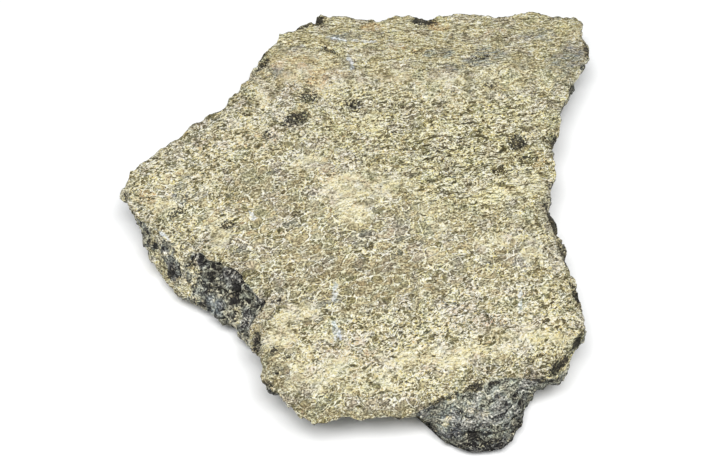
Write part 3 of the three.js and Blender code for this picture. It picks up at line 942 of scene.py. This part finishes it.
# The soot patches darken the crust: partly its own soot, partly painted shade under the rim, in dents and
# in the wedge at the left ledge.
shade = shade + 0.10 * creamed - 0.10 - 0.07 * bitten - 0.12 * soot_and_shade
crag = palette(
    shade, (0.38, soot), (0.46, charcoal), (0.53, iron), (0.59, moss), (0.66, beige), (0.74, cream),
)
crag = colour(crag, charcoal, bitten * 0.35)
strut = fall(wall_gap, width, width + 0.07) * rise(medium + 0.5 * (small - 0.5), 0.4, 0.5)
crag = colour(crag, soot, rise(wall_gap, 0.12, 0.3) * (0.3 + 0.3 * bitten))
crag = colour(crag, silver, strut * (0.7 + 0.25 * bitten))
crag = colour(crag, soot, chinks * 0.85)
crag = colour(crag, colour(silver, pale, 0.2 + 0.4 * bitten), curls * 0.85)
upper = rise(marked("height"), 7, 16)
bed = bent(place, 6, 0.4)
layers = cloudy(bed, (8, 8, 1.0), detail=2, roughness=0.6)
scales = (0.7 + 0.7 * upper) * (layers - 0.5) + 0.4 * (seam - 0.5) + 0.35 * (flakes - 0.5)
scales = scales + 0.4 * (grit - 0.5) + 0.2 * (medium - 0.5)
scales = scales + 0.10 * creamed - 0.16 * soot_and_shade + 0.18 * upper + 0.41
scales = palette(
    scales, (0.26, soot), (0.38, charcoal), (0.47, iron), (0.55, lichen), (0.65, silver), (0.85, pale),
)
scales = colour(scales, soot, strokes((8, 8, 1.5), 20, 0.010, 0.04, bed) * 0.6)
scales = colour(scales, silver, strokes((9, 9, 1.7), 0, 0.010, 0.045, bed) * (0.45 + 0.4 * upper))
scales = colour(scales, silver, strokes((5, 5, 1.2), 40, 0.010, 0.04, bed) * (0.3 + 0.4 * upper))
scales = colour(scales, pale, rise(speck, 0.6, 0.68) * 0.6)
broken = colour(crag, scales, rise(layered + 0.5 * (small - 0.5), 0.3, 0.5))
# Painted shade: soot in the hollows, clefts, dents, the lobe's steps and the groove under its rim.
broken = colour(broken, soot, rise(hollow_shade + 1.5 * (flakes - 0.5), 0.35, 0.75) * (0.8 - 0.2 * bitten))
broken = colour(broken, colour(silver, pale, 0.3), curls * bitten * 0.65)
broken = colour(broken, silver, rise(hollow_shade, 0.04, 0.15) * fall(hollow_shade, 0.2, 0.5) * (1 - layered) * 0.35)
# Painted shade: charcoal along the lowest 2.5 mm of the walls, where they meet the ground.
broken = colour(broken, charcoal, fall(marked("height") + 6 * (small - 0.5), 0.5, 2.5) * 0.6)
broken = colour(broken, ash, blotched("blue", 0.4, 1.0) * 0.5)
bare = rise(creamed - 0.8 * soot_and_shade + 2.4 * (medium - 0.5) + 0.4 * (grit - 0.5), 0.4, 0.55)
broken = colour(broken, ground, bare * 0.85)
ground = colour(ground, broken, crust)
# The narrow chips along the rim go black: partly the crust's own colour, partly painted shade in their
# pockets.
ground = colour(ground, soot, chip_black_and_shade * 0.93)

# Bluish white veins in the sawn face, and the dark crack along the lip.
vein = fall(marked("vein") + 3 * (small - 0.5) + speck - 0.5, 0.2, 0.9)
ground = colour(ground, milky_blue, vein * 0.7)
ground = colour(ground, umber, marked("lip") * rise(small + medium, 0.95, 1.1) * 0.6)

# Grit over all, and a tint that changes from patch to patch.
grit_tone = palette(grit, (0.31, black_wash), (0.5, grey_wash), (0.69, white_wash))
grit_share = 0.62 - 0.3 * close + 0.1 * crust * (1 - 2 * creamed) - 0.15 * layered
ground = colour(ground, grit_tone, grit_share, way="OVERLAY")
tint = palette(
    cloudy(frayed, 7, detail=1),
    (0.36, mauve_wash), (0.44, blue_wash), (0.5, straw_wash), (0.57, warm_wash), (0.66, moss_wash),
)
ground = colour(ground, tint, 0.36, way="OVERLAY")

finish = nodes["Principled BSDF"]
links.new(ground, finish.inputs["Base Color"])
finish.inputs["Specular IOR Level"].default_value = 0.3
feed(finish.inputs["Roughness"], 0.55 + 0.3 * grit)
relief = nodes.new("ShaderNodeBump")
relief.inputs["Strength"].default_value = 0.7
relief.inputs["Distance"].default_value = 0.0008
height = worms * 1.5 + grit * 0.6 - pore * 0.4 - slit * slitted * 0.7 - cracks * 0.6 + walls * 0.3
height = height * (1 + 0.8 * marked("edge_rough"))
feed(relief.inputs["Height"], height * (1 - crust) + (flakes * 2.4 + grit + 3 * layers * layered) * crust)
links.new(relief.outputs["Normal"], finish.inputs["Normal"])

# --------------------------------------------------------------------------------------------------
# The floor, the light and the camera: a white table top under two softboxes, one to each side of the
# viewer, in a dim white room. The camera looks down at the slab from in front.
# --------------------------------------------------------------------------------------------------

floor_half = 3.0
room_strength = 0.21
softbox_size = 0.5
softbox_watts = 16.8
softbox_place = (0.25, -0.54, 1.62)
lamp_target = (0, 0, 0.01)
look_down = math.radians(58)
camera_distance = 0.5572
lens_length = 85
film_width = 36

floor_mesh = bpy.data.meshes.new("floor")
corners = [(floor_half * a, floor_half * b, 0) for a, b in ((-1, -1), (1, -1), (1, 1), (-1, 1))]
floor_mesh.from_pydata(corners, [], [(0, 1, 2, 3)])
floor = bpy.data.objects.new("floor", floor_mesh)
bpy.context.scene.collection.objects.link(floor)
white = bpy.data.materials.new("white_table")
white.use_nodes = True
table_finish = white.node_tree.nodes["Principled BSDF"]
table_finish.inputs["Base Color"].default_value = (0.9, 0.9, 0.9, 1)
table_finish.inputs["Roughness"].default_value = 0.9
floor_mesh.materials.append(white)

world = bpy.data.worlds.new("studio")
world.use_nodes = True
room = world.node_tree.nodes["Background"]
room.inputs["Color"].default_value = (0.92, 0.97, 1, 1)
room.inputs["Strength"].default_value = room_strength
bpy.context.scene.world = world


def aim(obj, place, target):
    """Turns an object at place so that its own -Z points at target and its own Y points up."""
    obj.location = place
    obj.rotation_euler = (Vector(target) - Vector(place)).to_track_quat("-Z", "Y").to_euler()


for side in (-1, 1):
    lamp_data = bpy.data.lights.new("softbox", "AREA")
    lamp_data.size = softbox_size
    lamp_data.energy = softbox_watts
    lamp = bpy.data.objects.new("softbox", lamp_data)
    bpy.context.scene.collection.objects.link(lamp)
    aim(lamp, (softbox_place[0] * side, *softbox_place[1:]), lamp_target)

target = np.array([-box_middle[0] / 1000, -box_middle[1] / 1000, thickness / 2000])
camera_data = bpy.data.cameras.new("camera")
camera_data.lens = lens_length
camera_data.sensor_width = film_width
camera = bpy.data.objects.new("camera", camera_data)
bpy.context.scene.collection.objects.link(camera)
away = np.array([0, -math.cos(look_down), math.sin(look_down)])
aim(camera, target + camera_distance * away, target)
bpy.context.scene.camera = camera
bpy.context.scene.view_settings.view_transform = "Standard"
